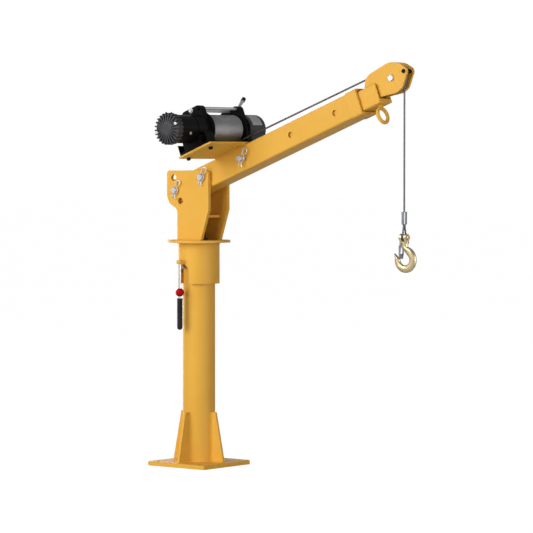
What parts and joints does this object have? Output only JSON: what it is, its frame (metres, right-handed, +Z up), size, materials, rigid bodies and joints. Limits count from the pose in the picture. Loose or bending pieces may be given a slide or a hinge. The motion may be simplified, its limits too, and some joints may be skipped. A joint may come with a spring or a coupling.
{
  "type": "mini crane",
  "caption": "Yellow swivelling column crane with a telescopic boom, electric rope winch, head sheave and a latched hook.",
  "frame": {"origin": "centre of the base plate's underside", "axes": "+Z up along the column, +X the way the boom points"},
  "size_m": [1.0123, 0.4673, 1.3221],
  "materials": {
    "yellow_paint": "satin",
    "black_paint": "satin",
    "bright_zinc": "satin",
    "gold_zinc": "satin",
    "plated_steel": "polished",
    "gear_steel": "satin",
    "bronze": "satin",
    "wire_rope": "satin",
    "black_rubber": "matte",
    "black_plastic": "matte",
    "red_plastic": "gloss",
    "white_nylon": "matte"
  },
  "bodies": {
    "base": {"base_plate": "yellow_paint", "base_gussets": "yellow_paint", "column_tube": "yellow_paint", "king_pin": "black_paint", "king_nut": "black_paint", "thrust_washer": "bronze"},
    "swivel": {"swivel_sleeve": "yellow_paint", "swivel_flange": "yellow_paint", "swivel_bushes": "bronze", "cheek_left": "yellow_paint", "cheek_right": "yellow_paint", "cheek_shelf": "yellow_paint", "boom_pivot_pin": "bright_zinc", "elevation_pin": "bright_zinc", "cheek_pin_clips": "bright_zinc", "lever_lugs": "yellow_paint"},
    "lever": {"brake_lever": "plated_steel", "lever_ball": "red_plastic", "lever_grip": "black_rubber"},
    "boom": {"outer_boom": "yellow_paint", "boom_end_band": "yellow_paint", "boom_pivot_bush": "bronze", "front_slide_pads": "white_nylon", "extension_pin": "bright_zinc", "extension_clip": "bright_zinc", "winch_plate": "yellow_paint", "winch_bolts": "black_paint", "motor_support": "black_paint", "gear_support": "black_paint", "tie_bars": "bright_zinc", "motor_can": "black_paint", "motor_end_cap": "black_paint", "gear_housing": "black_paint", "ring_gear": "gear_steel", "rope_run": "wire_rope"},
    "rotor": {"motor_armature": "gear_steel", "sun_shaft": "gear_steel"},
    "drum": {"winch_drum": "black_paint", "rope_winding": "wire_rope"},
    "planet_1": {"planet_gear_1": "gear_steel"},
    "planet_2": {"planet_gear_2": "gear_steel"},
    "planet_3": {"planet_gear_3": "gear_steel"},
    "clutch": {"clutch_lever": "gear_steel", "clutch_knob": "black_plastic"},
    "inner_boom": {"inner_boom": "yellow_paint", "rear_slide_pads": "white_nylon", "head_plate_left": "yellow_paint", "head_plate_right": "yellow_paint", "rope_guard_pin": "black_paint", "sheave_pin": "bright_zinc", "tie_ring": "yellow_paint", "rope_over_sheave": "wire_rope"},
    "sheave": {"head_sheave": "gear_steel", "sheave_bush": "bronze"},
    "rope_drop": {"rope_fall": "wire_rope"},
    "hook_line": {"rope_ferrule": "bright_zinc", "rope_eye": "wire_rope"},
    "hook": {"load_hook": "gold_zinc", "clevis_pin": "gold_zinc"},
    "latch": {"hook_latch": "bright_zinc"}
  },
  "joints": [
    {"name": "swivel", "type": "hinge", "parent": "base", "child": "swivel", "pos_m": [0, 0, 0.74], "axis": [0, 0, 1], "continuous": true},
    {"name": "brake_lever", "type": "hinge", "parent": "swivel", "child": "lever", "pos_m": [-0.01183, -0.08417, 0.678], "axis": [-0.9903, 0.1392, 0], "range_deg": [0, 95]},
    {"name": "boom_luff", "type": "hinge", "parent": "swivel", "child": "boom", "pos_m": [0.058, 0, 0.959], "axis": [0, -1, 0], "range_deg": [0, 20]},
    {"name": "boom_extend", "type": "slide", "parent": "boom", "child": "inner_boom", "axis": [0.9348, 0, 0.3551], "range_m": [0, 0.402], "deforming": ["rope_run"]},
    {"name": "drum_spin", "type": "hinge", "parent": "boom", "child": "drum", "pos_m": [0.12908, 0, 1.11544], "axis": [0, 1, 0], "range_deg": [0, 320]},
    {"name": "rotor_spin", "type": "hinge", "parent": "boom", "child": "rotor", "pos_m": [0.12908, 0, 1.11544], "axis": [0, 1, 0], "range_deg": [0, 1600]},
    {"name": "planet_1_spin", "type": "hinge", "parent": "drum", "child": "planet_1", "pos_m": [0.15011, 0, 1.12343], "axis": [0, 1, 0], "range_deg": [-854, 0]},
    {"name": "planet_2_spin", "type": "hinge", "parent": "drum", "child": "planet_2", "pos_m": [0.11164, 0, 1.12966], "axis": [0, 1, 0], "range_deg": [-854, 0]},
    {"name": "planet_3_spin", "type": "hinge", "parent": "drum", "child": "planet_3", "pos_m": [0.12548, 0, 1.09323], "axis": [0, 1, 0], "range_deg": [-854, 0]},
    {"name": "clutch", "type": "hinge", "parent": "boom", "child": "clutch", "pos_m": [0.12908, 0.066, 1.11544], "axis": [-0.4647, 0, 0.8855], "range_deg": [0, 90]},
    {"name": "sheave_spin", "type": "hinge", "parent": "inner_boom", "child": "sheave", "pos_m": [0.80749, 0, 1.27259], "axis": [0, 1, 0], "range_deg": [-457, 0]},
    {"name": "rope_plumb", "type": "hinge", "parent": "inner_boom", "child": "rope_drop", "pos_m": [0.80749, 0, 1.27259], "axis": [0, -1, 0], "range_deg": [-20, 0]},
    {"name": "hook_hoist", "type": "slide", "parent": "rope_drop", "child": "hook_line", "axis": [0, 0, 1], "range_m": [0, 0.2868], "deforming": ["rope_fall"]},
    {"name": "hook_swing", "type": "hinge", "parent": "hook_line", "child": "hook", "pos_m": [0.84349, 0, 0.77159], "axis": [1, 0, 0], "range_deg": [-40, 40]},
    {"name": "latch", "type": "hinge", "parent": "hook", "child": "latch", "pos_m": [0.83749, 0, 0.75109], "axis": [0, -1, 0], "range_deg": [0, 30], "stiffness_Nm_per_rad": 0.05, "springref_deg": -22.92}
  ],
  "couplings": [
    {"joint": "rotor_spin", "follows": "drum_spin", "ratio": 5},
    {"joint": "planet_1_spin", "follows": "drum_spin", "ratio": -2.6667},
    {"joint": "planet_2_spin", "follows": "drum_spin", "ratio": -2.6667},
    {"joint": "planet_3_spin", "follows": "drum_spin", "ratio": -2.6667},
    {"joint": "sheave_spin", "follows": "drum_spin", "ratio": -1.4264},
    {"joint": "hook_hoist", "follows": "drum_spin", "m_per_rad": 0.05135},
    {"joint": "rope_plumb", "follows": "boom_luff", "ratio": -1}
  ]
}
